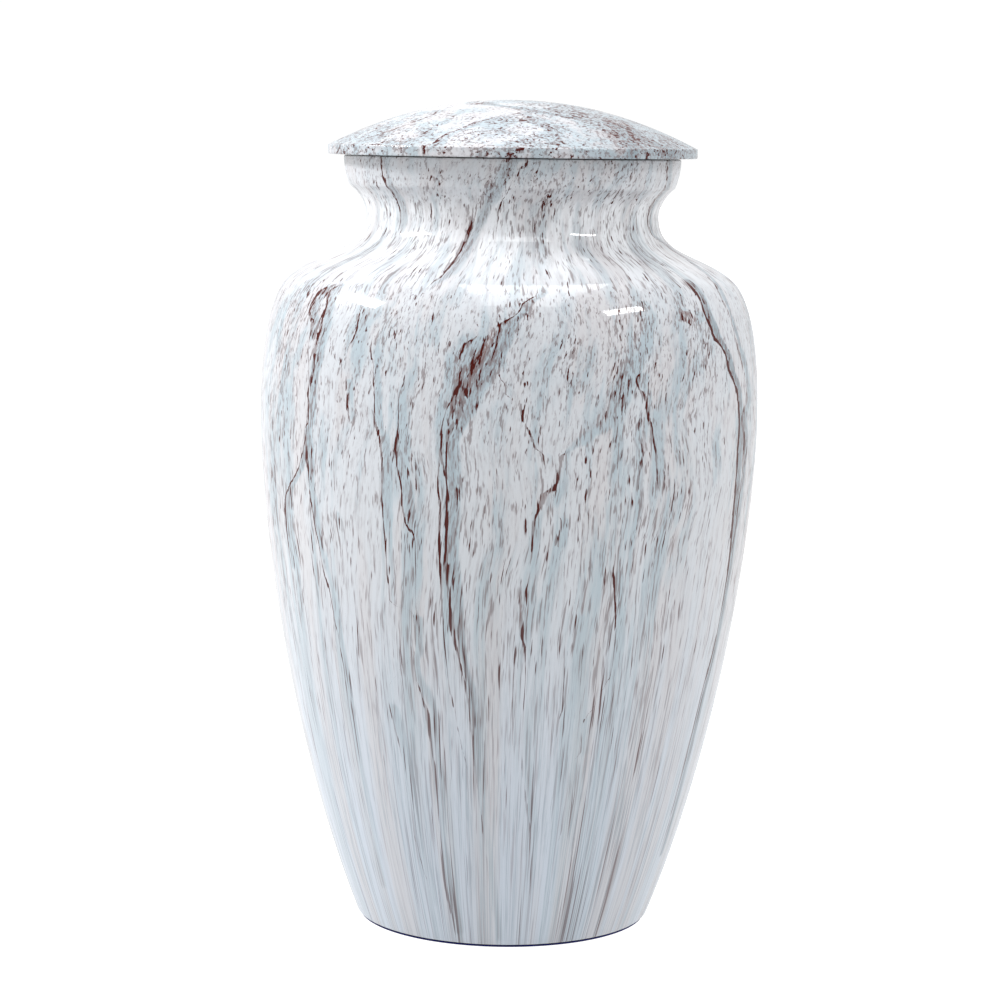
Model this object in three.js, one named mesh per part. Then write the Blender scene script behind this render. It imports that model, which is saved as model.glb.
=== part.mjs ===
// A lidded cremation urn of cast aluminium, turned smooth all round. A tall vase-shaped body stands on a
// small flat foot, swells to a belly above its middle, and closes over a round shoulder into a hollowed neck
// under a flared collar. A shallow domed lid lies on the collar, held in place by the spigot that drops into
// its mouth, and a thin felt pad lies under the foot. +Z is up, sizes are in millimetres, and the origin is
// at the centre of the underside.
import * as THREE from "three";

const DEGREE = Math.PI / 180;
const TURN_STEPS = 60; // flat steps that every piece is turned in

// How the pieces lie on each other
const padGap = 0.3; // between the felt and the foot
const lidGap = 0.3; // between the collar's rim and the lid
const spigotClearance = 0.6; // between the spigot and the mouth, on the radius

// Felt pad
const padThickness = 0.5;
const padInset = 0.2; // from the edge of the foot's flat underside

// Body: the radius at each station of the outline, and how far each station lies above the one before
const wallThickness = 3;
const floorThickness = 3.5;
const floorRound = 4; // between the floor and the wall, inside
const footRadius = 46;
const flankStartRadius = 46.9;
const footRound = 0.8;
const bellyRadius = 78.6;
const flankHeight = 159.4;
const shoulderRadius = 69.1;
const shoulderHeight = 43.7;
const waistRadius = 46.1;
const neckHeight = 19.2;
const collarEdgeRadius = 51.2;
const hollowHeight = 9;
const mouthRimRadius = 52.9;
const collarHeight = 9;
const rimRound = 0.6;

// The outline's lean at its stations, outwards from straight up
const flankLean = 21.6 * DEGREE;
const shoulderLean = -52.4 * DEGREE;
const hollowLean = 52 * DEGREE;
const collarLean = 19.5 * DEGREE;

// How far each curve keeps to its lean, as a length along it
const flankStartPull = 59;
const flankEndPull = 34;
const shoulderStartPull = 23.9;
const shoulderEndPull = 7.9;
const neckStartPull = 12.9;
const neckEndPull = 12;
const hollowStartPull = 3.5;
const hollowEndPull = 3.5;

// Lid
const lidRadius = 57.9;
const bandHeight = 3.1;
const bandRound = 0.4;
const domeRise = 14.4;
const domeLean = -63 * DEGREE;
const domeEdgePull = 26.5;
const domeCrownPull = 15;
const lidThickness = 3; // measured straight down
const spigotDepth = 12;
const spigotThickness = 3;

// Heights of the stations above the surface that the urn stands on
const undersideHeight = padThickness + padGap;
const flankStartHeight = undersideHeight + footRound;
const bellyHeight = flankStartHeight + flankHeight;
const shoulderBendHeight = bellyHeight + shoulderHeight;
const waistHeight = shoulderBendHeight + neckHeight;
const collarEdgeHeight = waistHeight + hollowHeight;
const rimHeight = collarEdgeHeight + collarHeight;
const lidUnderHeight = rimHeight + lidGap;
const mouthRadius = waistRadius - wallThickness;

// A point of a profile, by its distance from the axis and its height
const at = (radius, height) => new THREE.Vector2(radius, height);

// The way that a profile runs where it leans outwards by an angle from straight up
const heading = (lean) => at(Math.sin(lean), Math.cos(lean));

// The points of one smooth curve between two stations, each with its lean and its pull. The first point is
// left out, because the curve before ends on it.
function sweep(from, leanFrom, pullFrom, to, leanTo, pullTo, steps) {
  const curve = new THREE.CubicBezierCurve(
    from,
    from.clone().addScaledVector(heading(leanFrom), pullFrom),
    to.clone().addScaledVector(heading(leanTo), -pullTo),
    to,
  );
  return curve.getPoints(steps).slice(1);
}

// The points of a quarter round between two points, bulging towards the corner that it softens
function quarterRound(from, corner, to, steps) {
  return new THREE.QuadraticBezierCurve(from, corner, to).getPoints(steps);
}

// A profile moved inwards by the wall, square to its own run
function offsetInwards(points, distance) {
  return points.map((point, i) => {
    const before = points[Math.max(i - 1, 0)];
    const after = points[Math.min(i + 1, points.length - 1)];
    const run = after.clone().sub(before).normalize();
    return at(point.x - run.y * distance, point.y + run.x * distance);
  });
}

// A solid turned from a profile that starts and ends on the axis and has its material on its left
function turned(name, profile, material) {
  const geometry = new THREE.LatheGeometry(profile, TURN_STEPS);
  geometry.rotateX(Math.PI / 2);
  const mesh = new THREE.Mesh(geometry, material);
  mesh.name = name;
  return mesh;
}

// The outside of the body between the foot and the waist, from the bottom up
function bodyFlank() {
  const flankStart = at(flankStartRadius, flankStartHeight);
  const belly = at(bellyRadius, bellyHeight);
  const shoulder = at(shoulderRadius, shoulderBendHeight);
  const waist = at(waistRadius, waistHeight);
  return [
    flankStart,
    ...sweep(flankStart, flankLean, flankStartPull, belly, 0, flankEndPull, 9),
    ...sweep(belly, 0, shoulderStartPull, shoulder, shoulderLean, shoulderEndPull, 8),
    ...sweep(shoulder, shoulderLean, neckStartPull, waist, 0, neckEndPull, 7),
  ];
}

// The hollow under the collar and the collar itself, from the waist to the rim
function bodyCollar() {
  const waist = at(waistRadius, waistHeight);
  const edge = at(collarEdgeRadius, collarEdgeHeight);
  const rimSide = at(mouthRimRadius, rimHeight - rimRound);
  const rimCorner = at(mouthRimRadius, rimHeight);
  return [
    ...sweep(waist, 0, hollowStartPull, edge, hollowLean, hollowEndPull, 5),
    ...sweep(edge, collarLean, collarHeight / 3, rimSide, 0, collarHeight / 3, 3),
    ...quarterRound(rimSide, rimCorner, at(mouthRimRadius - rimRound, rimHeight), 2).slice(1),
  ];
}

// The inside of the body from the waist down to the floor's centre: the outside moved in by the wall, with a
// rounded corner where it meets the flat floor
function bodyInside(flank) {
  const wall = offsetInwards(flank, wallThickness).filter((point, i) => i % 2 === 1 && point.y < waistHeight);
  const floorHeight = undersideHeight + floorThickness;
  const drop = wall[0].y - floorHeight;
  const corner = at(wall[0].x - drop * Math.tan(flankLean), floorHeight);
  const cornerTop = corner.clone().addScaledVector(heading(flankLean), floorRound);
  const cornerFoot = at(corner.x - floorRound, floorHeight);
  return [...wall.reverse(), ...quarterRound(cornerTop, corner, cornerFoot, 3), at(0, floorHeight)];
}

// The hollow body: outside from the foot's centre up to the rim, then down the straight mouth and the inside
function body(material) {
  const flank = bodyFlank();
  const footEdge = at(footRadius, undersideHeight);
  const footCorner = at(flankStartRadius - footRound * Math.tan(flankLean), undersideHeight);
  const profile = [
    at(0, undersideHeight),
    ...quarterRound(footEdge, footCorner, flank[0], 3),
    ...flank.slice(1),
    ...bodyCollar(),
    at(mouthRadius, rimHeight),
    at(mouthRadius, waistHeight),
    ...bodyInside(flank),
  ];
  return turned("urn_body", profile, material);
}

// The height of a profile over a radius, on the straight between its neighbouring points
function heightOver(points, radius) {
  const i = points.findIndex((point) => point.x < radius);
  const outer = points[i - 1];
  const inner = points[i];
  return inner.y + ((radius - inner.x) / (outer.x - inner.x)) * (outer.y - inner.y);
}

// The lid: a shallow cap on an upright band, hollow below, with the spigot that drops into the mouth
function lid(material) {
  const bandTop = lidUnderHeight + bandHeight;
  const domeEdge = at(lidRadius - bandRound, bandTop);
  const crown = at(0, bandTop + domeRise);
  const dome = [domeEdge, ...sweep(domeEdge, domeLean, domeEdgePull, crown, -90 * DEGREE, domeCrownPull, 9)];
  const spigotRadius = mouthRadius - spigotClearance;
  const spigotFoot = rimHeight - spigotDepth;
  const spigotBore = spigotRadius - spigotThickness;
  const hollow = dome
    .filter((point) => point.x < spigotBore)
    .map((point) => at(point.x, point.y - lidThickness));
  const profile = [
    ...hollow.reverse(),
    at(spigotBore, heightOver(dome, spigotBore) - lidThickness),
    at(spigotBore, spigotFoot),
    at(spigotRadius, spigotFoot),
    at(spigotRadius, lidUnderHeight),
    at(lidRadius - bandRound, lidUnderHeight),
    at(lidRadius, lidUnderHeight + bandRound),
    at(lidRadius, bandTop - bandRound),
    ...dome,
  ];
  return turned("urn_lid", profile, material);
}

// The felt pad that the urn stands on
function feltPad(material) {
  const radius = footRadius - padInset;
  const profile = [at(0, 0), at(radius, 0), at(radius, padThickness), at(0, padThickness)];
  return turned("felt_pad", profile, material);
}

// The printed marbling under its clear gloss coat
function marbledEnamel() {
  return new THREE.MeshStandardMaterial({ color: 0xd3d7db, roughness: 0.12, metalness: 0 });
}

// Short-pile felt
function navyFelt() {
  return new THREE.MeshStandardMaterial({ color: 0x1d2146, roughness: 0.95, metalness: 0 });
}

const urn = new THREE.Group();
urn.add(body(marbledEnamel()), lid(marbledEnamel()), feltPad(navyFelt()));

export default urn;
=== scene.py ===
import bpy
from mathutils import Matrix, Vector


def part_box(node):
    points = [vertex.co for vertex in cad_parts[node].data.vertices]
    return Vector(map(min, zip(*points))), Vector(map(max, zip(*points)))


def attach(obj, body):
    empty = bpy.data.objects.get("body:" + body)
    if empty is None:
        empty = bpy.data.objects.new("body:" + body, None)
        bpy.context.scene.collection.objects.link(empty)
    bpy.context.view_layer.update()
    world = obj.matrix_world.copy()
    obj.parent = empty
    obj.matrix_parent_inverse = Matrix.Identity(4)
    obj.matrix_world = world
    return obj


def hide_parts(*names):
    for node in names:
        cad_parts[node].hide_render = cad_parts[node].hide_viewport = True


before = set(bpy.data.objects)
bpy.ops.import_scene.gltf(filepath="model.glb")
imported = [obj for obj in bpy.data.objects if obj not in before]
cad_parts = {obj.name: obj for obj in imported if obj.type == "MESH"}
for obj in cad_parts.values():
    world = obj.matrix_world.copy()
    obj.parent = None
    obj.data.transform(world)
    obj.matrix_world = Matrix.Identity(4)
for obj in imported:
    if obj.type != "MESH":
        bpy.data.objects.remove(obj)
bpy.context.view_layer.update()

import math
from functools import partialmethod
from types import SimpleNamespace

import bpy
from mathutils import Matrix, Vector

bl_info = {
    "name": "Marbled cremation urn",
    "version": (1, 0, 0),
    "blender": (4, 5, 0),
    "location": "3D View > Sidebar > Urn",
    "description": "Turns the vessel, its lid and its felt, and sets them on a pale studio floor",
    "category": "Object",
}

# Sizes are held in metres and written here in millimetres, as on a turner's drawing.
MM = 0.001
VESSEL_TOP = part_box("urn_body")[1]
LID_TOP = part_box("urn_lid")[1]
PAD_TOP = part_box("felt_pad")[1]


def length(millimetres, tip):
    size = millimetres * MM
    return bpy.props.FloatProperty(description=tip, default=size, subtype="DISTANCE", unit="LENGTH", precision=4)


def lean(degrees, tip):
    turn = math.radians(degrees)
    return bpy.props.FloatProperty(description=tip, default=turn, subtype="ANGLE", unit="ROTATION")


def steps(count, tip):
    return bpy.props.IntProperty(description=tip, default=count, min=1, max=400)


def share(value, tip):
    return bpy.props.FloatProperty(description=tip, default=value, min=0, max=1, subtype="FACTOR")


def colour(tone, tip):
    return bpy.props.FloatVectorProperty(description=tip, default=tone, min=0, max=1, size=3, subtype="COLOR")


def named(group):
    """Names every property after its identifier: wall_thickness becomes Wall thickness."""
    for identifier, prop in group.__annotations__.items():
        prop.keywords["name"] = identifier.replace("_", " ").capitalize()
    return group


@named
class UrnVesselSizes(bpy.types.PropertyGroup):
    turn_steps: steps(180, "Steps round the vessel")
    underside_height: length(0.8, "Height of the foot's flat underside above the table")
    wall_thickness: length(3, "Thickness of the casting")
    floor_thickness: length(3.5, "Thickness of the floor")
    floor_round: length(4, "Rounding between the floor and the wall")
    foot_radius: length(46, "Radius of the foot's flat underside")
    foot_round: length(0.8, "Height of the rounding round the foot")
    flank_start_radius: length(46.9, "Radius where the flank leaves the foot")
    flank_lean: lean(21.6, "Outward lean of the flank at the foot")
    flank_start_pull: length(59, "How far the flank keeps to its lean above the foot")
    flank_height: length(159.4, "From the foot's rounding up to the belly")
    belly_radius: length(VESSEL_TOP.x / MM, "Greatest radius of the vessel")
    flank_end_pull: length(34, "How far the flank runs upright below the belly")
    shoulder_start_pull: length(23.9, "How far the wall runs upright above the belly")
    shoulder_height: length(43.7, "From the belly up to the bend of the shoulder")
    shoulder_radius: length(69.1, "Radius at the bend of the shoulder")
    shoulder_lean: lean(-52.4, "Outward lean at the bend of the shoulder")
    shoulder_end_pull: length(7.9, "How far the shoulder keeps to its lean below the bend")
    neck_start_pull: length(12.9, "How far the shoulder keeps to its lean above the bend")
    neck_height: length(19.2, "From the bend of the shoulder up to the waist")
    waist_radius: length(46.1, "Smallest radius of the neck")
    neck_end_pull: length(12, "How far the neck runs upright below the waist")
    hollow_pull: length(3.5, "How far the hollow above the waist keeps to its leans")
    hollow_height: length(9, "From the waist up to the collar's lower edge")
    hollow_lean: lean(52, "Outward lean of the hollow under the collar's edge")
    collar_edge_radius: length(51.2, "Radius of the collar's lower edge")
    collar_lean: lean(19.5, "Outward lean of the collar above its lower edge")
    collar_height: length(9, "From the collar's lower edge up to the rim")
    rim_radius: length(52.9, "Radius of the rim")
    rim_round: length(0.6, "Rounding of the rim")


@named
class UrnLidSizes(bpy.types.PropertyGroup):
    turn_steps: steps(180, "Steps round the lid")
    underside_height: length(242.2, "Height of the lid's underside above the table")
    lid_radius: length(LID_TOP.x / MM, "Radius of the upright band round the lid")
    band_height: length(3.1, "Height of the band")
    band_round: length(0.4, "Rounding of the band's two edges")
    dome_lean: lean(-63, "Outward lean of the dome where it leaves the band")
    dome_edge_pull: length(26.5, "How far the dome keeps to its lean at the band")
    dome_crown_pull: length(15, "How far the dome runs level at its crown")
    crown_height: length(LID_TOP.z / MM, "Height of the crown above the table")
    lid_thickness: length(3, "Thickness of the dome, straight down")
    spigot_radius: length(42.5, "Outer radius of the spigot")
    spigot_thickness: length(3, "Thickness of the spigot")
    spigot_foot_height: length(229.9, "Height of the spigot's lower edge above the table")


@named
class UrnPadSizes(bpy.types.PropertyGroup):
    turn_steps: steps(180, "Steps round the felt disc")
    pad_radius: length(PAD_TOP.x / MM, "Radius of the felt disc")
    pad_thickness: length(PAD_TOP.z / MM, "Thickness of the felt")
    pad_round: length(0.15, "Softness of the cut edge")


@named
class UrnFinish(bpy.types.PropertyGroup):
    ground: colour((0.412, 0.43, 0.456), "Palest tone of the marble print")
    cool: colour((0.266, 0.33, 0.368), "Pale blue-grey clouds of the print")
    slate: colour((0.15, 0.2, 0.23), "Deep blue-grey beside the strongest veins")
    warm: colour((0.402, 0.388, 0.398), "Faint warm clouds of the print")
    # The fleck tone also paints the shade on the lid's right side.
    fleck: colour((0.128, 0.099, 0.1), "Fine grey-brown flecks")
    thread: colour((0.115, 0.052, 0.045), "Fine brown threads of the wide veins")
    vein: colour((0.045, 0.005, 0.003), "Dark maroon flecks and veins")
    foot: colour((0.385, 0.425, 0.482), "Bluer ground at the foot")
    # Painted light: a paler ground laid over the hollow of the neck, brightening the recess under the collar.
    pale: colour((0.72, 0.73, 0.75), "Ground over the hollow of the neck")
    gloss: share(0.03, "Roughness of the clear gloss coat")
    felt: colour((0.012, 0.014, 0.085), "Navy felt")
    felt_pile: colour((0.06, 0.07, 0.26), "Lighter fibre ends of the felt")
    metal: colour((0.62, 0.62, 0.61), "Bare cast aluminium inside")


@named
class UrnStage(bpy.types.PropertyGroup):
    camera_distance: length(922.9, "From the urn's axis to the camera")
    camera_height: length(250.4, "Height of the camera above the floor")
    camera_pitch: lean(7.229, "How far the camera looks down")
    camera_roll: lean(0.838, "Turn of the camera about its line of sight")
    camera_lens: bpy.props.FloatProperty(description="Focal length on a 36 mm sensor", default=105.11, unit="CAMERA")
    floor_radius: length(9000, "Radius of the pale floor")
    floor_tone: colour((0.2, 0.2, 0.2), "Pale floor")


def own_properties(group):
    """The properties that a property group itself lists."""
    return [prop for prop in group.bl_rna.properties if prop.identifier not in ("rna_type", "name")]


def pick(sockets, key):
    """The socket in use with that name or number, or the first one."""
    if isinstance(key, int):
        return sockets[key]
    return next(s for s in sockets if s.enabled and key in (None, s.name))


class Field:
    """A value or a vector in a node tree. Its operators add Math and Vector Math nodes."""

    def __init__(self, bench, socket):
        self.bench, self.socket = bench, socket

    def reckon(self, operation, *others):
        """The result of a Math or Vector Math node that takes this field first."""
        return self.bench.reckon(operation, self, *others)

    __add__ = __radd__ = partialmethod(reckon, "ADD")
    __sub__ = partialmethod(reckon, "SUBTRACT")
    __mul__ = partialmethod(reckon, "MULTIPLY")
    __truediv__ = partialmethod(reckon, "DIVIDE")
    __neg__ = partialmethod(reckon, "MULTIPLY", -1.0)
    larger = partialmethod(reckon, "MAXIMUM")
    smaller = partialmethod(reckon, "MINIMUM")
    above = partialmethod(reckon, "GREATER_THAN")
    below = partialmethod(reckon, "LESS_THAN")
    distance = partialmethod(reckon, "ABSOLUTE")
    sine = partialmethod(reckon, "SINE")
    cosine = partialmethod(reckon, "COSINE")
    tangent = partialmethod(reckon, "TANGENT")
    root = partialmethod(reckon, "SQRT")

    def __rsub__(self, other):
        return self.bench.reckon("SUBTRACT", other, self)

    def smooth(self, low, high):
        """0 up to low, 1 from high, and a soft step between them."""
        sockets = {"Value": self, "From Min": low, "From Max": high}
        return self.bench.add("ShaderNodeMapRange", {"interpolation_type": "SMOOTHSTEP"}, sockets)

    def parts(self):
        """The three numbers of a vector."""
        first = self.bench.add("ShaderNodeSeparateXYZ", sockets={0: self})
        return [Field(self.bench, s) for s in first.socket.node.outputs]


class Bench:
    """Adds nodes to one tree and hands back what they give as fields."""

    def __init__(self, tree):
        self.tree = tree

    def add(self, kind, settings=None, sockets=None, result=None):
        node = self.tree.nodes.new(kind)
        for name, value in (settings or {}).items():
            if name == "points":
                bend_curve(node, value)
            else:
                setattr(node, name, value)
        for name, value in (sockets or {}).items():
            for term in value if isinstance(value, list) else [value]:
                self.plug(term, pick(node.inputs, name))
        return Field(self, pick(node.outputs, result)) if len(node.outputs) else node

    def reckon(self, operation, *terms):
        """A Vector Math node if any term is a vector, or else a Math node."""
        vectors = [isinstance(t, tuple) or isinstance(t, Field) and t.socket.type == "VECTOR" for t in terms]
        if not any(vectors):
            return self.add("ShaderNodeMath", {"operation": operation}, dict(enumerate(terms)))
        if operation == "MULTIPLY" and not all(vectors):
            vector, scale = sorted(terms, key=lambda t: not vectors[terms.index(t)])
            return self.add("ShaderNodeVectorMath", {"operation": "SCALE"}, {0: vector, "Scale": scale})
        return self.add("ShaderNodeVectorMath", {"operation": operation}, dict(enumerate(terms)))

    def plug(self, term, socket):
        if isinstance(term, Field):
            self.tree.links.new(term.socket, socket)
        elif socket.type == "RGBA":
            socket.default_value = (*term[:3], 1.0)
        else:
            socket.default_value = term

    def vector(self, x, y, z):
        return self.add("ShaderNodeCombineXYZ", sockets={"X": x, "Y": y, "Z": z})

    def noise(self, place, scale, detail=2.0, roughness=0.5, distortion=0.0):
        sockets = {"Vector": place, "Scale": scale, "Detail": detail, "Roughness": roughness, "Distortion": distortion}
        return self.add("ShaderNodeTexNoise", sockets=sockets)

    def mix(self, below, above, factor):
        """One colour laid over another."""
        return self.add("ShaderNodeMix", {"data_type": "RGBA"}, {"Factor": factor, "A": below, "B": above})

    def curve(self, value, points):
        """A curve through given points, from 0 to 1 both ways."""
        return self.add("ShaderNodeFloatCurve", {"points": points}, {"Value": value})

    def store_lining(self, geometry, lining):
        """Marks the points of a shape with 1 where they are lining and 0 where they are outside."""
        sockets = {"Geometry": geometry, "Name": "lining", "Value": lining}
        return self.add("GeometryNodeStoreNamedAttribute", {"data_type": "FLOAT", "domain": "POINT"}, sockets)

    def position(self):
        """The three coordinates of each point."""
        return self.add("GeometryNodeInputPosition").parts()

    def chain(self, curve):
        """A curve as a chain of points."""
        return self.add("GeometryNodeCurveToMesh", sockets={"Curve": curve})

    def move(self, geometry, **place):
        return self.add("GeometryNodeSetPosition", sockets={"Geometry": geometry, **place})

    def cut(self, geometry, away):
        """What is left without the points that are marked away."""
        sockets = {"Geometry": geometry, "Selection": away}
        return self.add("GeometryNodeDeleteGeometry", {"domain": "POINT"}, sockets)

    def merge(self, geometry, distance):
        return self.add("GeometryNodeMergeByDistance", sockets={"Geometry": geometry, "Distance": distance})

    def group(self, tree, **given):
        """Another tree, with its inputs named as here but for the underscores."""
        sockets = {name.replace("_", " "): value for name, value in given.items()}
        return self.add("GeometryNodeGroup", {"node_tree": tree}, sockets)

    def bump(self, strength, distance, height):
        sockets = {"Strength": strength, "Distance": distance, "Height": height}
        return self.add("ShaderNodeBump", sockets=sockets, result="Normal")

    def read_lining(self):
        return self.add("GeometryNodeInputNamedAttribute", {"data_type": "FLOAT"}, {"Name": "lining"}, "Attribute")


def bend_curve(node, points):
    """Sets the points of a Float Curve node."""
    curve = node.mapping.curves[0]
    while len(curve.points) < len(points):
        curve.points.new(0.5, 0.5)
    for point, place in zip(curve.points, points):
        point.location = place
        point.handle_type = "AUTO_CLAMPED"
    node.mapping.extend = "HORIZONTAL"
    node.mapping.update()


def start_tree(name, entries):
    """A geometry tree with named inputs, and its inputs as fields. An entry holds a name, a kind, and for a size
    its value and its unit too."""
    tree = bpy.data.node_groups.new(name, "GeometryNodeTree")
    for label, kind, *more in entries:
        socket = tree.interface.new_socket(label, in_out="INPUT", socket_type="NodeSocket" + kind)
        value, subtype = more or (None, None)
        if subtype:
            socket.subtype = subtype
        if value is not None:
            socket.default_value = value
    tree.interface.new_socket("Geometry", in_out="OUTPUT", socket_type="NodeSocketGeometry")
    bench = Bench(tree)
    source = tree.nodes.new("NodeGroupInput")
    return bench, {label: Field(bench, source.outputs[label]) for label, *_ in entries}


def end_tree(bench, geometry):
    """The tree with its output fed."""
    out = bench.tree.nodes.new("NodeGroupOutput")
    bench.plug(geometry, out.inputs[0])
    return bench.tree


def entries_of(sizes):
    """One named tree input for each size of a property group."""
    rows = []
    for prop in own_properties(sizes):
        whole = prop.type == "INT"
        rows.append((prop.name, "Int" if whole else "Float", prop.default, None if whole else prop.subtype))
    return rows


FINISHES = [("Outside", "Material"), ("Lining", "Material")]
ONE_POINT, ONE_SEAM = 0.02 * MM, 0.002 * MM  # closer points of an outline, and of a turned piece, become one


def build_sweep():
    """One smooth curve of an outline between two stations, each with its lean from upright and its pull."""
    ends = [(name, "Vector") for name in ("From", "To")]
    bends = [(name, "Float") for name in ("Lean From", "Pull From", "Lean To", "Pull To")]
    bench, given = start_tree("Outline sweep", [*ends, *bends, ("Steps", "Int")])

    def heading(angle):
        return bench.vector(angle.sine(), 0.0, angle.cosine())

    curve = bench.add(
        "GeometryNodeCurvePrimitiveBezierSegment",
        {"mode": "POSITION"},
        {
            "Resolution": given["Steps"],
            "Start": given["From"],
            "Start Handle": given["From"] + heading(given["Lean From"]) * given["Pull From"],
            "End Handle": given["To"] - heading(given["Lean To"]) * given["Pull To"],
            "End": given["To"],
        },
    )
    return end_tree(bench, curve)


def build_inner_wall():
    """An outline moved inwards by the wall and turned to run downwards."""
    sizes = [(name, "Float") for name in ("Wall", "Lowest", "Highest")]
    bench, given = start_tree("Inner wall", [("Outline", "Geometry"), *sizes])
    points = bench.add("GeometryNodeResampleCurve", {"mode": "EVALUATED"}, {"Curve": given["Outline"]})
    along_x, _, along_z = bench.add("GeometryNodeInputTangent").parts()
    inwards = bench.vector(-along_z, 0.0, along_x)
    moved = bench.move(points, Offset=inwards * given["Wall"])
    chain = bench.chain(bench.add("GeometryNodeReverseCurve", sockets={"Curve": moved}))
    height = bench.position()[2]
    outside = height.below(given["Lowest"]) + height.above(given["Highest"])
    return end_tree(bench, bench.cut(chain, outside))


def build_turning():
    """A closed outline in the XZ plane turned about Z, with its poles and seam merged."""
    bench, given = start_tree("Turn outline", [("Outline", "Geometry"), ("Steps Round", "Int"), *FINISHES])
    outline = bench.merge(given["Outline"], ONE_POINT)
    count = bench.add("GeometryNodeAttributeDomainSize", {"component": "MESH"}, {"Geometry": outline}, "Point Count")
    rounds = given["Steps Round"]
    grid = bench.add("GeometryNodeMeshGrid", sockets={"Vertices X": rounds + 1, "Vertices Y": count}, result="Mesh")
    index = bench.add("GeometryNodeInputIndex")
    turn = (index / count).reckon("FLOOR")
    along = index - turn * count

    def sample(value, kind):
        return bench.add(
            "GeometryNodeSampleIndex",
            {"data_type": kind, "domain": "POINT"},
            {"Geometry": outline, "Value": value, "Index": along},
        )

    radius, _, height = sample(bench.add("GeometryNodeInputPosition"), "FLOAT_VECTOR").parts()
    lining = sample(bench.read_lining(), "FLOAT")
    angle = turn / rounds * math.tau
    place = bench.vector(radius * angle.cosine(), radius * angle.sine(), height)
    marked = bench.store_lining(grid, lining)
    closed = bench.merge(bench.move(marked, Position=place), ONE_SEAM)
    smooth = bench.add("GeometryNodeSetShadeSmooth", sockets={"Geometry": closed})
    whole = bench.add("GeometryNodeRealizeInstances", sockets={"Geometry": smooth})
    coated = bench.add("GeometryNodeSetMaterial", sockets={"Geometry": whole, "Material": given["Outside"]})
    inside = bench.read_lining().above(0.75)
    lined = bench.add(
        "GeometryNodeSetMaterial", sockets={"Geometry": coated, "Selection": inside, "Material": given["Lining"]}
    )
    return end_tree(bench, lined)


LINING = 1.0  # the mark on the points of an outline that get the lining's material


class Outline:
    """Collects the pieces of one closed outline, in order, in the tree of a turned piece."""

    def __init__(self, name, sizes):
        self.sweep_tree, self.turning_tree = build_sweep(), build_turning()
        self.bench, self.given = start_tree(name, entries_of(sizes) + FINISHES)
        self.size = SimpleNamespace(**{prop.identifier: self.given[prop.name] for prop in own_properties(sizes)})
        self.pieces = []

    def at(self, radius, height):
        return self.bench.vector(radius, 0.0, height)

    def curve(self, start, lean_from, pull_from, end, lean_to, pull_to, count):
        return self.bench.group(
            self.sweep_tree, From=start, Lean_From=lean_from, Pull_From=pull_from,
            To=end, Lean_To=lean_to, Pull_To=pull_to, Steps=count,
        )

    def follow(self, curve, lining=0.0):
        """Adds a curve to the outline as a chain of points, marked as lining or not."""
        self.mark(self.bench.chain(curve), lining)

    def mark(self, chain, lining):
        self.pieces.append(self.bench.store_lining(chain, lining))

    def straight(self, start, end, count, lining=0.0):
        """Adds a straight run."""
        self.follow(self.curve(start, 0.0, 0.0, end, 0.0, 0.0, count), lining)

    def rounded(self, start, corner, end, count, lining=0.0):
        """Adds a rounding that bulges towards the corner."""
        sockets = {"Resolution": count, "Start": start, "Middle": corner, "End": end}
        self.follow(self.bench.add("GeometryNodeCurveQuadraticBezier", sockets=sockets), lining)

    def turn(self):
        """The finished tree. A join takes its last link first, so the pieces go in backwards."""
        joined = self.bench.add("GeometryNodeJoinGeometry", sockets={"Geometry": self.pieces[::-1]})
        finishes = {name: self.given[name] for name, _ in FINISHES}
        turned = self.bench.group(self.turning_tree, Outline=joined, Steps_Round=self.size.turn_steps, **finishes)
        return end_tree(self.bench, turned)


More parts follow.
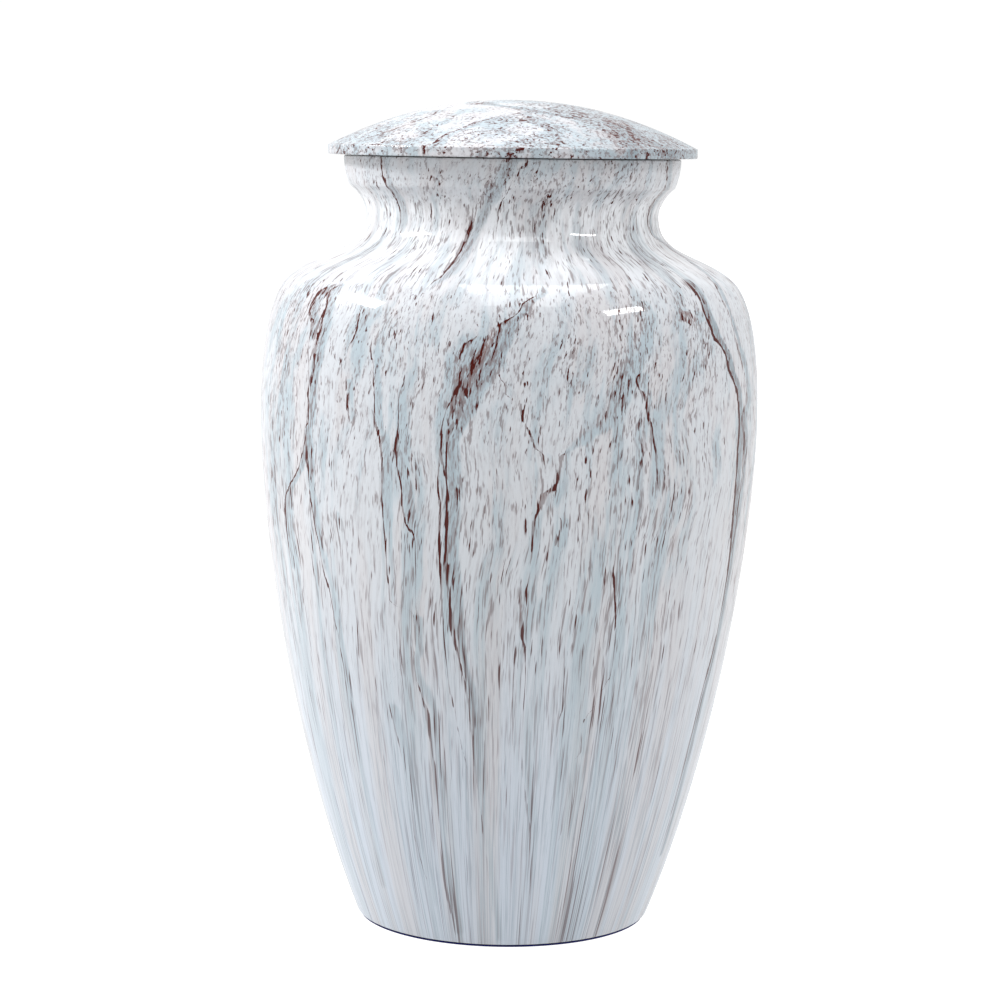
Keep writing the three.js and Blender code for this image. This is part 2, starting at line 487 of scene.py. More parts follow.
def vessel_tree(sizes):
    """The hollow vessel: outside from the foot up to the rim, then down the mouth and the inner wall."""
    o = Outline("Turned vessel", sizes)
    s, at = o.size, o.at
    underside = s.underside_height
    start_height = underside + s.foot_round
    slope = s.flank_lean.tangent()
    flank_start = at(s.flank_start_radius, start_height)
    belly_height = start_height + s.flank_height
    belly = at(s.belly_radius, belly_height)
    bend_height = belly_height + s.shoulder_height
    bend = at(s.shoulder_radius, bend_height)
    waist_height = bend_height + s.neck_height
    waist = at(s.waist_radius, waist_height)
    edge_height = waist_height + s.hollow_height
    edge = at(s.collar_edge_radius, edge_height)
    rim_height = edge_height + s.collar_height
    rim_side = at(s.rim_radius, rim_height - s.rim_round)
    third = s.collar_height / 3
    mouth_radius = s.waist_radius - s.wall_thickness

    def flank(count):
        return [
            o.curve(flank_start, s.flank_lean, s.flank_start_pull, belly, 0.0, s.flank_end_pull, 2 * count),
            o.curve(belly, 0.0, s.shoulder_start_pull, bend, s.shoulder_lean, s.shoulder_end_pull, count),
            o.curve(bend, s.shoulder_lean, s.neck_start_pull, waist, 0.0, s.neck_end_pull, count),
        ]

    o.straight(at(0.0, underside), at(s.foot_radius, underside), 8)
    corner = at(s.flank_start_radius - s.foot_round * slope, underside)
    o.rounded(at(s.foot_radius, underside), corner, flank_start, 5)
    for curve in flank(28):
        o.follow(curve)
    o.follow(o.curve(waist, 0.0, s.hollow_pull, edge, s.hollow_lean, s.hollow_pull, 12))
    o.follow(o.curve(edge, s.collar_lean, third, rim_side, 0.0, third, 10))
    rim_top = at(s.rim_radius - s.rim_round, rim_height)
    o.rounded(rim_side, at(s.rim_radius, rim_height), rim_top, 4)
    o.straight(rim_top, at(mouth_radius, rim_height), 5)

    o.straight(at(mouth_radius, rim_height), at(mouth_radius, waist_height), 6, LINING)
    floor_height = underside + s.floor_thickness
    sine, cosine = s.flank_lean.sine(), s.flank_lean.cosine()
    inner_start_radius = s.flank_start_radius - s.wall_thickness * cosine
    inner_start_height = start_height + s.wall_thickness * sine
    corner_radius = inner_start_radius + (floor_height - inner_start_height) * slope
    round_top = floor_height + s.floor_round * cosine
    inner = build_inner_wall()
    for curve in reversed(flank(16)):
        ends = {"Lowest": round_top + 0.5 * MM, "Highest": waist_height - 0.2 * MM}
        o.mark(o.bench.group(inner, Outline=curve, Wall=s.wall_thickness, **ends), LINING)
    round_foot = at(corner_radius - s.floor_round, floor_height)
    round_head = at(corner_radius + s.floor_round * sine, round_top)
    o.rounded(round_head, at(corner_radius, floor_height), round_foot, 5, LINING)
    o.straight(round_foot, at(0.0, floor_height), 6, LINING)
    return o.turn()


def lid_tree(sizes):
    """The lid: the hollow under the dome, the spigot, the flat underside, the band and the dome."""
    o = Outline("Turned lid", sizes)
    s, at, bench = o.size, o.at, o.bench
    under, round_off = s.underside_height, s.band_round
    band_top = under + s.band_height
    dome_edge = at(s.lid_radius - round_off, band_top)
    crown = at(0.0, s.crown_height)
    level = -math.pi / 2
    bore = s.spigot_radius - s.spigot_thickness

    def dome(count):
        return o.curve(dome_edge, s.dome_lean, s.dome_edge_pull, crown, level, s.dome_crown_pull, count)

    hollow = bench.chain(bench.add("GeometryNodeReverseCurve", sockets={"Curve": dome(48)}))
    lowered = bench.move(hollow, Offset=bench.vector(0.0, 0.0, -s.lid_thickness))
    radius, _, height = bench.position()
    kept = bench.cut(lowered, radius.above(bore - 0.2 * MM))
    o.mark(kept, LINING)
    lowest = bench.add(
        "GeometryNodeAttributeStatistic", {"data_type": "FLOAT"}, {"Geometry": kept, "Attribute": height}, "Min"
    )
    foot = s.spigot_foot_height
    o.straight(at(bore, lowest - 0.1 * MM), at(bore, foot), 6, LINING)
    o.straight(at(bore, foot), at(s.spigot_radius, foot), 3, LINING)
    o.straight(at(s.spigot_radius, foot), at(s.spigot_radius, under), 6, LINING)
    o.straight(at(s.spigot_radius, under), at(s.lid_radius - round_off, under), 5, LINING)

    low_side, top_side = at(s.lid_radius, under + round_off), at(s.lid_radius, band_top - round_off)
    o.rounded(at(s.lid_radius - round_off, under), at(s.lid_radius, under), low_side, 4)
    o.straight(low_side, top_side, 6)
    turned_in = at(s.lid_radius - round_off * 0.1, band_top)
    o.rounded(top_side, turned_in, dome_edge, 4)
    o.follow(dome(60))
    return o.turn()


def pad_tree(sizes):
    """The felt disc, with soft cut edges."""
    o = Outline("Turned felt disc", sizes)
    s, at = o.size, o.at
    radius, thickness, soft = s.pad_radius, s.pad_thickness, s.pad_round
    o.straight(at(0.0, 0.0), at(radius - soft, 0.0), 12)
    o.rounded(at(radius - soft, 0.0), at(radius, 0.0), at(radius, soft), 3)
    o.straight(at(radius, soft), at(radius, thickness - soft), 2)
    o.rounded(at(radius, thickness - soft), at(radius, thickness), at(radius - soft, thickness), 3)
    o.straight(at(radius - soft, thickness), at(0.0, thickness), 12)
    return o.turn()


def make_turned(name, tree, sizes, outside, lining):
    """Runs a turned piece's tree and keeps the result as a plain closed mesh."""
    carrier = bpy.data.objects.new(name, bpy.data.meshes.new(name))
    bpy.context.scene.collection.objects.link(carrier)
    modifier = carrier.modifiers.new("Turning", "NODES")
    modifier.node_group = tree
    values = {prop.name: getattr(sizes, prop.identifier) for prop in own_properties(sizes)}
    values["Outside"], values["Lining"] = outside, lining
    for item in tree.interface.items_tree:
        if item.in_out == "INPUT" and item.name in values:
            modifier[item.identifier] = values[item.name]
    seen = carrier.evaluated_get(bpy.context.evaluated_depsgraph_get())
    mesh = bpy.data.meshes.new_from_object(seen)
    carrier.modifiers.clear()
    carrier.data = mesh
    mesh.name = name
    if not mesh.polygons:
        raise RuntimeError(f"the tree of {name} gave no faces")
    if mesh.materials[0] is None:
        mesh.materials.pop(index=0)
    if signed_volume(mesh) < 0:
        mesh.flip_normals()
    return carrier


def signed_volume(mesh):
    """Six times the volume that the faces enclose, positive where they point outwards."""
    mesh.calc_loop_triangles()
    total = 0.0
    for triangle in mesh.loop_triangles:
        a, b, c = (mesh.vertices[i].co for i in triangle.vertices)
        total += a.dot(b.cross(c))
    return total


def start_material(name):
    """An empty material, its bench, and the place on the piece in millimetres."""
    material = bpy.data.materials.new(name)
    material.use_nodes = True
    material.node_tree.nodes.clear()
    bench = Bench(material.node_tree)
    return material, bench, bench.add("ShaderNodeTexCoord", result="Object") * (1 / MM)


def end_material(bench, sockets):
    """Feeds one Principled shader and sets its constants on its own sockets."""
    shader = bench.add("ShaderNodeBsdfPrincipled", sockets=sockets)
    bench.add("ShaderNodeOutputMaterial", sockets={"Surface": shader})


# The vessel's main veins. Each has how closely its flecks lie and how much blue-grey cloud lies on its right.
# Then come its stations: a height (tenths of a mm), the angle round the axis there (tenths of a degree, 0 at the
# front and growing to the right) and the half width (hundredths of a mm).
VEINS = {
    "far left": (1.25, 1.1, [
        (2430, -489, 57), (2368, -487, 57), (2319, -480, 56), (2268, -475, 46), (2220, -466, 23), (2177, -471, 0),
        (2038, -506, 0), (2008, -534, 116), (1956, -538, 106), (1919, -512, 110), (1894, -515, 60), (1853, -513, 15),
        (1734, -503, 15), (1711, -505, 49), (1626, -502, 39), (1603, -516, 50), (1525, -509, 79), (1448, -500, 29),
        (1327, -490, 24), (1085, -458, 18), (838, -439, 22), (452, -439, 17), (182, -456, 22)
    ]),
    "left": (1.25, 1.1, [
        (2169, -346, 0), (2047, -457, 0), (2013, -493, 77), (1970, -481, 56), (1926, -479, 70), (1852, -485, 57),
        (1772, -494, 48), (1690, -501, 0), (1504, -532, 31), (1369, -614, 52), (1182, -618, 33)
    ]),
    "left short": (1, 0.6, [
        (1997, -363, 0), (1944, -368, 39), (1888, -373, 39), (1864, -384, 0), (1772, -386, 0), (1758, -385, 40),
        (1665, -372, 47), (1632, -366, 0), (1375, -412, 0), (1352, -413, 42), (1292, -407, 50), (1247, -406, 0)
    ]),
    "left middle": (1.2, 1.0, [
        (1869, -318, 11), (1723, -304, 22), (1647, -303, 44), (1624, -297, 58), (1512, -282, 36), (1378, -283, 28),
        (1233, -280, 18), (1111, -280, 14), (1080, -223, 0), (1064, -218, 30), (973, -217, 27), (925, -227, 27),
        (813, -205, 33), (781, -199, 33), (673, -197, 30), (556, -190, 33), (357, -195, 17), (272, -196, 40),
        (220, -194, 50), (148, -187, 50), (63, -175, 39)
    ]),
    "left near": (1.2, 0.9, [
        (1757, -250, 0), (1698, -246, 17), (1627, -246, 62), (1581, -247, 90), (1536, -246, 48), (1457, -236, 31),
        (1357, -230, 31), (1304, -215, 27), (1179, -209, 10), (995, -214, 0), (796, -304, 0), (768, -301, 36),
        (657, -287, 29), (544, -279, 11), (281, -265, 10), (147, -251, 10)
    ]),
    "main": (1.1, 1.3, [
        (2035, 66, 25), (2007, 34, 38), (1979, 22, 31), (1960, 0, 41), (1940, -22, 157), (1907, -35, 188),
        (1858, -59, 220), (1800, -90, 285), (1732, -110, 255), (1659, -120, 160), (1621, -129, 80), (1588, -131, 39),
        (1506, -131, 32), (1438, -130, 35), (1348, -131, 39), (1297, -133, 48), (1183, -131, 64), (1107, -128, 67),
        (1021, -124, 58), (929, -112, 29), (852, -99, 51), (771, -88, 38), (668, -80, 35), (585, -74, 19),
        (499, -63, 9), (334, -52, 16), (164, -38, 19), (42, -25, 19)
    ]),
    "main left": (1, 0.5, [
        (1915, -70, 0), (1886, -91, 127), (1851, -112, 144), (1770, -114, 128), (1720, -126, 32), (1637, -143, 16),
        (1620, -143, 39), (1538, -143, 36), (1487, -148, 36), (1389, -145, 42), (1326, -148, 58), (1131, -147, 26),
        (980, -143, 23), (846, -134, 16), (721, -122, 13), (497, -91, 0)
    ]),
    "collar": (0.9, 0.3, [
        (2409, 44, 69), (2383, 21, 50), (2349, -1, 38), (2310, -20, 19), (2285, -38, 38), (2264, -43, 69),
        (2240, -50, 19), (2175, -57, 0), (1839, -24, 0), (1822, -23, 56), (1799, -24, 50), (1785, -17, 6),
        (1765, -7, 38), (1744, -8, 38), (1730, -2, 0), (1716, 27, 0), (1697, 28, 41), (1664, 31, 28), (1626, 42, 44),
        (1592, 52, 57), (1576, 55, 0), (1573, 75, 0), (1562, 76, 63), (1544, 77, 25), (1526, 82, 0), (1390, 109, 0),
        (1369, 114, 29), (1304, 108, 32), (1282, 109, 0), (1098, 162, 0), (1075, 163, 29), (1006, 163, 36),
        (960, 155, 97), (851, 151, 78), (788, 148, 32), (741, 139, 26), (625, 144, 29), (499, 140, 13),
        (367, 127, 10), (147, 108, 25), (73, 111, 38), (31, 113, 38)
    ]),
    "middle": (1, 0.6, [
        (1582, 124, 0), (1561, 111, 64), (1520, 108, 51), (1467, 101, 64), (1447, 83, 158), (1413, 73, 110),
        (1373, 59, 63), (1314, 55, 41), (1244, 53, 31), (1189, 48, 19), (1139, 40, 126), (1110, 39, 157),
        (1037, 34, 78), (986, 41, 31), (853, 45, 16), (727, 43, 28), (599, 50, 28), (462, 69, 35), (376, 82, 41),
        (283, 87, 32), (199, 90, 16)
    ]),
    "crack": (1.8, 2.2, [
        (2038, 514, 60), (2009, 517, 61), (1971, 516, 71), (1935, 526, 67), (1885, 541, 85), (1848, 572, 69),
        (1787, 588, 97), (1734, 618, 79), (1666, 630, 83), (1605, 637, 99), (1529, 633, 97), (1452, 635, 77),
        (1348, 639, 93), (1269, 648, 73), (1133, 654, 45), (943, 649, 37), (754, 629, 41), (494, 627, 27),
        (260, 635, 35)
    ]),
    "right": (1, 0.4, [
        (1987, 428, 0), (1972, 440, 218), (1955, 449, 486), (1942, 453, 267), (1930, 454, 0), (1802, 299, 0),
        (1785, 292, 108), (1768, 290, 36), (1732, 305, 73), (1658, 318, 59), (1508, 341, 30), (1420, 342, 0),
        (1222, 246, 0), (1197, 247, 34), (1028, 266, 35), (937, 268, 18), (813, 238, 0), (734, 198, 30),
        (656, 200, 30), (626, 192, 0), (603, 180, 33), (533, 184, 73), (443, 177, 66), (388, 174, 33), (332, 162, 0)
    ]),
    "far right": (1, 1.5, [
        (2399, 638, 85), (2338, 660, 115), (2254, 655, 75), (2190, 664, 47), (2145, 759, 63), (2084, 670, 40),
        (1998, 621, 53), (1877, 642, 72), (1727, 680, 150), (1693, 683, 152), (1643, 655, 98), (1575, 671, 96),
        (1474, 673, 49), (1319, 666, 39)
    ]),
    "neck": (0.95, 1.3, [
        (2430, -10, 125), (2399, -40, 125), (2327, -88, 127), (2240, -150, 113), (2164, -175, 98), (2089, -179, 66),
        (2027, -206, 0)
    ]),
    "grey": (0.3, 0.6, [
        (1982, 318, 111), (1879, 281, 213), (1783, 237, 239), (1706, 213, 235), (1648, 183, 231), (1611, 135, 225),
        (1582, 116, 96), (1556, 103, 0)
    ]),
}

# The lid's main veins, written in the same way but for distances from the axis in place of heights
LID_VEINS = {
    "line": (1.0, 0.5, [
        (579, -279, 60), (555, -251, 80), (504, -236, 70), (453, -184, 40), (395, -122, 70), (312, 40, 40),
        (240, 300, 20), (150, 600, 20)
    ]),
    "corner": (0.8, 0.4, [
        (579, -355, 250), (545, -349, 300), (520, -345, 220), (480, -330, 40), (440, -320, 0)
    ]),
    "grey": (1.0, 1.6, [
        (180, -350, 150), (207, -265, 200), (250, -56, 200), (288, 43, 200), (310, 120, 150), (340, 220, 120),
        (380, 340, 150), (413, 433, 250), (480, 380, 320), (526, 365, 300), (568, 351, 300), (579, 358, 200)
    ]),
    "dashes": (0.6, 0.1, [
        (420, 40, 0), (450, 0, 500), (490, -50, 700), (515, -80, 500), (530, -100, 0)
    ]),
    "right": (1.0, 1.0, [
        (579, 520, 200), (560, 500, 250), (520, 470, 150), (460, 500, 100), (400, 580, 60)
    ]),
    "left": (0.6, 0.3, [
        (575, -580, 120), (520, -540, 100), (450, -504, 100), (355, -450, 80), (280, -500, 50)
    ]),
}

URN_HEIGHT = 260.0  # where the height curves end, mm
LID_REACH = 60.0  # where the lid's curves end, mm from the axis
VEIN_WIDTH = 10.0  # the half width that the width curves reach at their top, mm
VEIN_END = 3.0  # how far a vein runs on beyond its last stations while it narrows to nothing, mm
FINE_VEIN, WIDE_VEIN = 0.6, 1.8  # half widths between which a solid line gives way to a net of threads, mm
CLOUD_OFFSET, CLOUD_REACH = 1.3, 1.7  # from a hairline vein to the middle of its cloud, and from there out, mm


def trace_veins(bench, veins, along, span, angle, radius, wander):
    """How much of a fine vein, of a wide one and of the cloud beside them lies at each place. The print comes in
    two lengths of film, each half-way round, so every vein comes back on the opposite side."""
    part = along / span
    vein = net = cloud = 0
    for close, cloudy, stations in veins.values():
        rising = sorted((at / 10, degrees / 10, half / 100) for at, degrees, half in stations)
        (low, low_angle, _), (high, high_angle, _) = rising[0], rising[-1]
        rising = [(low - VEIN_END, low_angle, 0), *rising, (min(high + VEIN_END, span), high_angle, 0)]
        centre = (bench.curve(part, [(at / span, 0.5 + degrees / 360) for at, degrees, _ in rising]) - 0.5) * math.tau
        half = bench.curve(part, [(at / span, wide / VEIN_WIDTH) for at, _, wide in rising]) * VEIN_WIDTH
        turned = angle - centre
        off = turned.reckon("WRAP", math.pi / 2, -math.pi / 2) * radius + wander
        core = (1 - off.distance() / (half * 1.3 + 0.01)).smooth(0, 0.75)
        breadth = half.smooth(FINE_VEIN, WIDE_VEIN)
        vein = vein + core * close * (1 - breadth * 0.85)
        net = net + core * breadth * close
        aside = off - half * 1.2 - CLOUD_OFFSET
        band = (1 - aside.distance() / (half * 1.2 + CLOUD_REACH)).smooth(0, 0.9)
        cloud = cloud + band * half.smooth(0, 0.3) * cloudy
    return vein, net.smaller(1), cloud


def print_colours(bench, film, finish, ground, vein, net, cloud, cloudiness, strength, fineness):
    """The marble print on its film, laid one tone over another from the ground to the maroon flecks, and how dark
    it is. Flecks crowd together along a fine vein, and a wide one is a net of threads. Where the strength falls
    below 1, the flecks fade and blue-grey hairs take their place. Lower fineness makes larger flecks."""
    clusters = bench.noise(film, 0.045, 3, 0.55) - 0.5
    crowds = bench.noise(film + (12, 300, 5), 0.17, 3, 0.6) - 0.5
    cool = bench.noise(film + (311, 47, 90), 0.16, 4, 0.6, 0.3) + clusters * 0.5
    warm = bench.noise(film + (75, 530, 20), 0.09, 3, 0.55, 0.3)
    grain = bench.noise(film + (10, 20, 630), fineness * 0.95, 4, 0.65)
    tone = bench.mix(ground, finish.warm, warm.smooth(0.46, 0.62) * 0.6)
    tone = bench.mix(tone, finish.cool, (cool + cloud * 0.26).smooth(0.47, 0.69) * cloudiness)
    tone = bench.mix(tone, finish.slate, cloud.smooth(0.8, 2) * 0.6)
    tone = bench.mix(tone, finish.fleck, grain.smooth(0.44, 0.80) * 0.42 * strength)
    crowding = clusters * 0.22 + crowds * 0.28 + cloud.smaller(1) * 0.04
    fine = bench.noise(film + (840, 15, 77), fineness * 1.45, 2, 0.55)
    fine = (fine + crowding + vein * 0.2 + net * 0.11).smooth(0.54, 0.67) * 0.68 * strength
    tone = bench.mix(tone, finish.fleck, fine)
    threads = bench.noise(film + (60, 710, 41), 1.9, 3, 0.6, 0.6)
    threads = (threads + crowds * 0.3).smooth(0.46, 0.62) * (net * 0.66 + cloud.smooth(0.3, 1.4) * (1 - net) * 0.34)
    tone = bench.mix(tone, finish.thread, threads)
    hairs = bench.noise(film + (222, 19, 470), 1.7, 3, 0.7)
    hairs = (hairs + crowding * 0.5).smooth(0.48, 0.64) * (1 - strength) * 0.85
    tone = bench.mix(tone, finish.slate, hairs)
    dark = bench.noise(film + (5, 905, 330), fineness * 1.15, 2, 0.5)
    dark = (dark + crowding + vein * 0.2 + net * 0.055).smooth(0.65, 0.73) * (strength * 0.8 + 0.2)
    return bench.mix(tone, finish.vein, dark), dark.larger(fine.larger(threads))


def gloss(bench, tone, depth, finish, millimetres):
    """The clear gloss coat over the print, with the faint orange peel of a sprayed coat. It has sunk in over the
    dark flecks, which shine less, and it mirrors less where it is seen edge on."""
    peel = bench.noise(millimetres, 0.11, 2, 0.5)
    bump = bench.bump(0.05, 0.4 * MM, peel)
    wear = bench.noise(millimetres + (9, 4, 1), 0.05, 3, 0.6)
    facing = bench.add("ShaderNodeLayerWeight", sockets={"Blend": 0.5}, result="Facing")
    coat = (0.9 - depth * 0.7) * (1 - facing.smooth(0.4, 0.95) * 0.8)
    end_material(
        bench,
        {"Base Color": tone, "Roughness": 0.26 + wear * 0.1, "Normal": bump, "IOR": 1.46, "Coat Weight": coat,
         "Coat Roughness": finish.gloss, "Coat IOR": 1.43, "Specular IOR Level": 0.1},
    )


SHOULDER_TURN = 200  # height of the shoulder's turn, above which the print is no longer stretched, mm
COLLAR_FOOT = 228  # height from which the print is stretched half as much again, mm
BELLY_RADIUS = 78  # radius at which the film goes round without shrinking, mm


def vessel_print(finish):
    """The print on the vessel. It is stretched along the meridians, more and more towards the foot, where its
    flecks are drawn out into long fine streaks that close up with the narrowing wall."""
    material, bench, millimetres = start_material("marble_print_vessel")
    x, y, z = millimetres.parts()
    radius = (x * x + y * y).root()
    below = (z - SHOULDER_TURN).smaller(0)
    above = (z - SHOULDER_TURN).larger(0)
    collar = (z - COLLAR_FOOT).larger(0)
    run = (below / 60).reckon("EXPONENT") * 20 + (above + collar) / 3
    angle = x.reckon("ARCTAN2", -y)
    meander = (bench.noise(millimetres, 0.02, 2, 0.5) - 0.5) * z.smooth(60, 170) * 16
    slanted = angle - run * 0.006 + meander / BELLY_RADIUS
    film = bench.vector(slanted.sine() * BELLY_RADIUS, slanted.cosine() * BELLY_RADIUS, run)
    wander = (bench.noise(film + (400, 0, 0), 0.22, 3, 0.6) - 0.5) * 4
    vein, net, cloud = trace_veins(bench, VEINS, z, URN_HEIGHT, angle, radius, wander)
    # Painted light: over the hollow of the neck the ground is made paler, standing in for light in the recess under
    # the collar.
    hollow = z.smooth(202, 214) * (1 - z.smooth(226, 237))
    ground = bench.mix(finish.foot, finish.ground, z.smooth(20, 140))
    ground = bench.mix(ground, finish.pale, hollow * 0.5)
    strength = z.smooth(30, 130) * 0.5 + 0.5
    cloudiness = (strength * 0.9 - 0.08) * (1 - z.smooth(188, 206) * 0.35)
    fineness = 1 - (z + wander * 3).above(SHOULDER_TURN + 3) * 0.36
    vein = vein * strength
    tone, depth = print_colours(bench, film, finish, ground, vein, net, cloud, cloudiness, strength, fineness)
    gloss(bench, tone, depth, finish, millimetres)
    return material


def lid_print(finish):
    """The print on the lid, hardly stretched, with a web of thin veins between its main ones. Towards its right side
    it is washed grey and clouded blue-grey: painted shade and painted reflection of a dark surround, laid over the
    print.
    """
    material, bench, millimetres = start_material("marble_print_lid")
    film = millimetres * 0.68 + (130, 260, 0)
    x, y, _ = millimetres.parts()
    radius = (x * x + y * y).root()
    warp = bench.noise(film, 0.06, 3, 0.6)
    web = bench.noise(film + (33, 8, 0), 0.055, 4, 0.62, 0.8)
    ridge = (web - 0.5).distance()
    wander = (warp - 0.5) * 9
    vein, net, cloud = trace_veins(bench, LID_VEINS, radius, LID_REACH, x.reckon("ARCTAN2", -y), radius, wander)
    vein = vein + (1 - ridge / 0.05).smooth(0, 1) * warp.smooth(0.42, 0.62) * 0.5
    # Painted shade and painted reflection: towards the lid's right side (growing with x) the blue-grey cloud grows and
    # the ground greys towards the fleck tone, over the print.
    cloud = cloud + (1 - ridge / 0.12).smooth(0, 1) * 0.6 + x.smooth(5, 45) * 0.5
    ground = bench.mix(finish.ground, finish.fleck, x.smooth(5, 42) * 0.55)
    tone, depth = print_colours(bench, film, finish, ground, vein * 0.85 + 0.12, net * 0.4, cloud, 0.82, 1, 1)
    gloss(bench, tone, depth, finish, millimetres)
    return material


def bare_metal(finish):
    """Cast aluminium left bare inside: dull, with the grain of the mould."""
    if "cast_aluminium" in bpy.data.materials:
        return bpy.data.materials["cast_aluminium"]
    material, bench, millimetres = start_material("cast_aluminium")
    grain = bench.noise(millimetres, 0.7, 4, 0.6)
    stain = bench.noise(millimetres + (50, 0, 0), 0.05, 3, 0.6)
    tone = bench.mix(finish.metal, tuple(part * 0.7 for part in finish.metal), stain.smooth(0.4, 0.7) * 0.6)
    bump = bench.bump(0.4, 0.3 * MM, grain)
    end_material(bench, {"Base Color": tone, "Metallic": 1, "Roughness": 0.38 + grain * 0.25, "Normal": bump})
    return material


def navy_felt(finish):
    """Short-pile felt: fibres matted in every direction, lighter at their ends."""
    material, bench, millimetres = start_material("felt_pile")
    fibre = bench.noise(millimetres, 3, 3, 0.7, 1.5)
    tuft = bench.noise(millimetres + (17, 3, 0), 0.35, 3, 0.6)
    tone = bench.mix(finish.felt, finish.felt_pile, (fibre * 0.7 + tuft * 0.3).smooth(0.4, 0.75) * 0.4)
    bump = bench.bump(0.7, 0.4 * MM, fibre)
    end_material(
        bench,
        {"Base Color": tone, "Roughness": 0.88 + tuft * 0.1, "Normal": bump, "Sheen Weight": 0.06,
         "Sheen Roughness": 0.5, "Specular IOR Level": 0.05},
    )
    return material


def floor_paint(stage):
    """Plain pale paint with a trace of unevenness."""
    material, bench, millimetres = start_material("pale_floor")
    uneven = bench.noise(millimetres, 0.003, 3, 0.5)
    darker = tuple(part * 0.985 for part in stage.floor_tone)
    tone = bench.mix(stage.floor_tone, darker, uneven.smooth(0.4, 0.6))
    end_material(
        bench,
        {"Base Color": tone, "Roughness": 0.7 + uneven * 0.1, "Specular IOR Level": 0.2,
         "Emission Color": (1, 1, 1), "Emission Strength": 1},
    )
    return material


def card_paint():
    """Dull dark cloth, which hangs behind the camera and is mirrored in the gloss coat."""
    material, bench, millimetres = start_material("dark_card")
    fibre = bench.noise(millimetres, 0.2)
    end_material(bench, {"Base Color": (0.2, 0.2, 0.2), "Roughness": 0.85 + fibre * 0.1, "Specular IOR Level": 0.1})
    return material


class URN_OT_vessel(bpy.types.Operator):
    """Turn the vessel and lay its marble print on"""

    bl_idname = "urn.vessel"
    bl_label = "Vessel"

    def execute(self, context):
        sizes, finish = context.scene.urn_vessel_sizes, context.scene.urn_finish
        piece = make_turned("urn_vessel", vessel_tree(sizes), sizes, vessel_print(finish), bare_metal(finish))
        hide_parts("urn_body")
        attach(piece, "root")
        return {"FINISHED"}


class URN_OT_lid(bpy.types.Operator):
    """Turn the lid that lifts off the collar"""

    bl_idname = "urn.lid"
    bl_label = "Lid"

    def execute(self, context):
        sizes, finish = context.scene.urn_lid_sizes, context.scene.urn_finish
        piece = make_turned("urn_cover", lid_tree(sizes), sizes, lid_print(finish), bare_metal(finish))
        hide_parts("urn_lid")
        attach(piece, "root")
        return {"FINISHED"}


class URN_OT_pad(bpy.types.Operator):
    """Cut the felt disc under the foot"""

    bl_idname = "urn.pad"
    bl_label = "Felt disc"

    def execute(self, context):
        sizes, finish = context.scene.urn_pad_sizes, context.scene.urn_finish
        felt = navy_felt(finish)
        piece = make_turned("felt_disc", pad_tree(sizes), sizes, felt, felt)
        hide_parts("felt_pad")
        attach(piece, "root")
        return {"FINISHED"}


def add_sheet(name, corners, material):
    """A flat sheet of the stage."""
    mesh = bpy.data.meshes.new(name)
    mesh.from_pydata(corners, [], [list(range(len(corners)))])
    mesh.materials.append(material)
    sheet = bpy.data.objects.new(name, mesh)
    bpy.context.scene.collection.objects.link(sheet)
    return sheet


def add_light(name, azimuth, elevation, distance, width, height, watts):
    """A soft box aimed at the urn. The azimuth is 0 on the camera's side and grows to the right."""
    lamp = bpy.data.lights.new(name, "AREA")
    lamp.shape = "RECTANGLE"
    lamp.size, lamp.size_y, lamp.energy = width, height, watts
    box = bpy.data.objects.new(name, lamp)
    across, up = math.radians(azimuth), math.radians(elevation)
    aim = Vector((0, 0, LIGHT_AIM))
    box.location = aim + distance * Vector(
        (math.cos(up) * math.sin(across), -math.cos(up) * math.cos(across), math.sin(up))
    )
    box.rotation_euler = (aim - box.location).to_track_quat("-Z", "Y").to_euler()
    bpy.context.scene.collection.objects.link(box)
    return box


FLOOR_SIDES = 64
SKY_STRENGTH = 1.03  # just enough for a white background
LIGHT_AIM = 0.2  # height that the soft boxes are aimed at, m
OVERHEAD_ASIDE = 0.11  # how far to the right the overhead box hangs, m
CARD_CORNERS = [(-1.4, -2.5, 0.4), (0.5, -2.5, 0.4), (0.5, -2.5, 2.2), (-1.4, -2.5, 2.2)]  # behind the camera, m
SENSOR_WIDTH = 36.0  # mm
CAMERA_SHIFT = (-0.00773, 0.00011)  # the framing's small offset, as shares of its width
NEAREST, FARTHEST = 0.05, 50.0  # what the camera sees, m


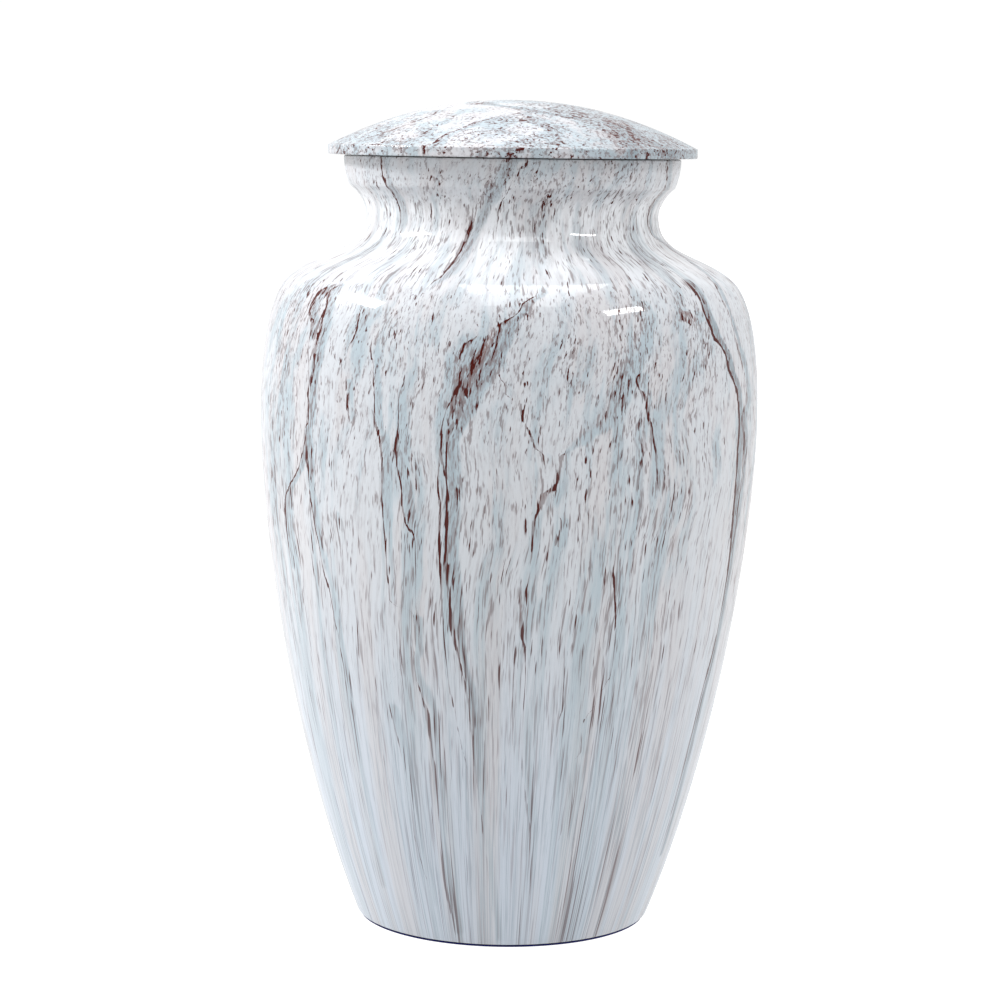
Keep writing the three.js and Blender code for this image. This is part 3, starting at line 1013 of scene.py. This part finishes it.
class URN_OT_stage(bpy.types.Operator):
    """Set the pale floor, the soft studio light and the camera"""

    bl_idname = "urn.stage"
    bl_label = "Stage"

    def execute(self, context):
        stage, scene = context.scene.urn_stage, context.scene
        turns = [math.tau * i / FLOOR_SIDES for i in range(FLOOR_SIDES)]
        rim = [(stage.floor_radius * math.cos(t), stage.floor_radius * math.sin(t), 0.0) for t in turns]
        floor = add_sheet("floor", rim, floor_paint(stage))
        card = add_sheet("dark_card", CARD_CORNERS, card_paint())
        card.visible_camera = False

        world = bpy.data.worlds.new("studio")
        world.use_nodes = True
        world.node_tree.nodes.clear()
        bench = Bench(world.node_tree)
        sky = bench.add("ShaderNodeBackground", sockets={"Color": (1.0, 1.0, 1.0), "Strength": SKY_STRENGTH})
        bench.add("ShaderNodeOutputWorld", sockets={"Surface": sky})
        scene.world = world
        add_light("left_box", -88, 35, 1.2, 0.55, 0.17, 18)
        add_light("right_box", 62, 35, 1.3, 0.45, 0.12, 4.5)
        overhead = add_light("overhead_box", 0, 82, 1.2, 0.75, 1.6, 14.5)
        overhead.location.x = OVERHEAD_ASIDE

        lens = bpy.data.cameras.new("camera")
        lens.sensor_width, lens.lens = SENSOR_WIDTH, stage.camera_lens
        lens.shift_x, lens.shift_y = CAMERA_SHIFT
        lens.clip_start, lens.clip_end = NEAREST, FARTHEST
        camera = bpy.data.objects.new("camera", lens)
        tilt = Matrix.Rotation(math.pi / 2 - stage.camera_pitch, 4, "X")
        roll = Matrix.Rotation(stage.camera_roll, 4, "Z")
        camera.matrix_world = Matrix.Translation((0, -stage.camera_distance, stage.camera_height)) @ tilt @ roll
        scene.collection.objects.link(camera)
        scene.camera = camera
        scene.view_settings.view_transform = "Standard"
        return {"FINISHED"}


class URN_PT_panel(bpy.types.Panel):
    """The urn's steps and sizes"""

    bl_idname = "URN_PT_panel"
    bl_label = "Marbled urn"
    bl_space_type = "VIEW_3D"
    bl_region_type = "UI"
    bl_category = "Urn"

    def draw(self, context):
        for step, group in STEPS:
            box = self.layout.box()
            box.operator(step.bl_idname)
            values = getattr(context.scene, group)
            for prop in own_properties(values):
                box.prop(values, prop.identifier)
        finish = context.scene.urn_finish
        for prop in own_properties(finish):
            self.layout.prop(finish, prop.identifier)


GROUPS = {
    "urn_vessel_sizes": UrnVesselSizes,
    "urn_lid_sizes": UrnLidSizes,
    "urn_pad_sizes": UrnPadSizes,
    "urn_finish": UrnFinish,
    "urn_stage": UrnStage,
}
STEPS = [
    (URN_OT_vessel, "urn_vessel_sizes"),
    (URN_OT_lid, "urn_lid_sizes"),
    (URN_OT_pad, "urn_pad_sizes"),
    (URN_OT_stage, "urn_stage"),
]
CLASSES = [*GROUPS.values(), *(step for step, _ in STEPS), URN_PT_panel]


def register():
    for cls in CLASSES:
        bpy.utils.register_class(cls)
    for name, group in GROUPS.items():
        setattr(bpy.types.Scene, name, bpy.props.PointerProperty(type=group))


def unregister():
    for name in GROUPS:
        delattr(bpy.types.Scene, name)
    for cls in reversed(CLASSES):
        bpy.utils.unregister_class(cls)


def main():
    register()
    bpy.ops.urn.stage()
    bpy.ops.urn.vessel()
    bpy.ops.urn.lid()
    bpy.ops.urn.pad()


if __name__ == "__main__":
    main()
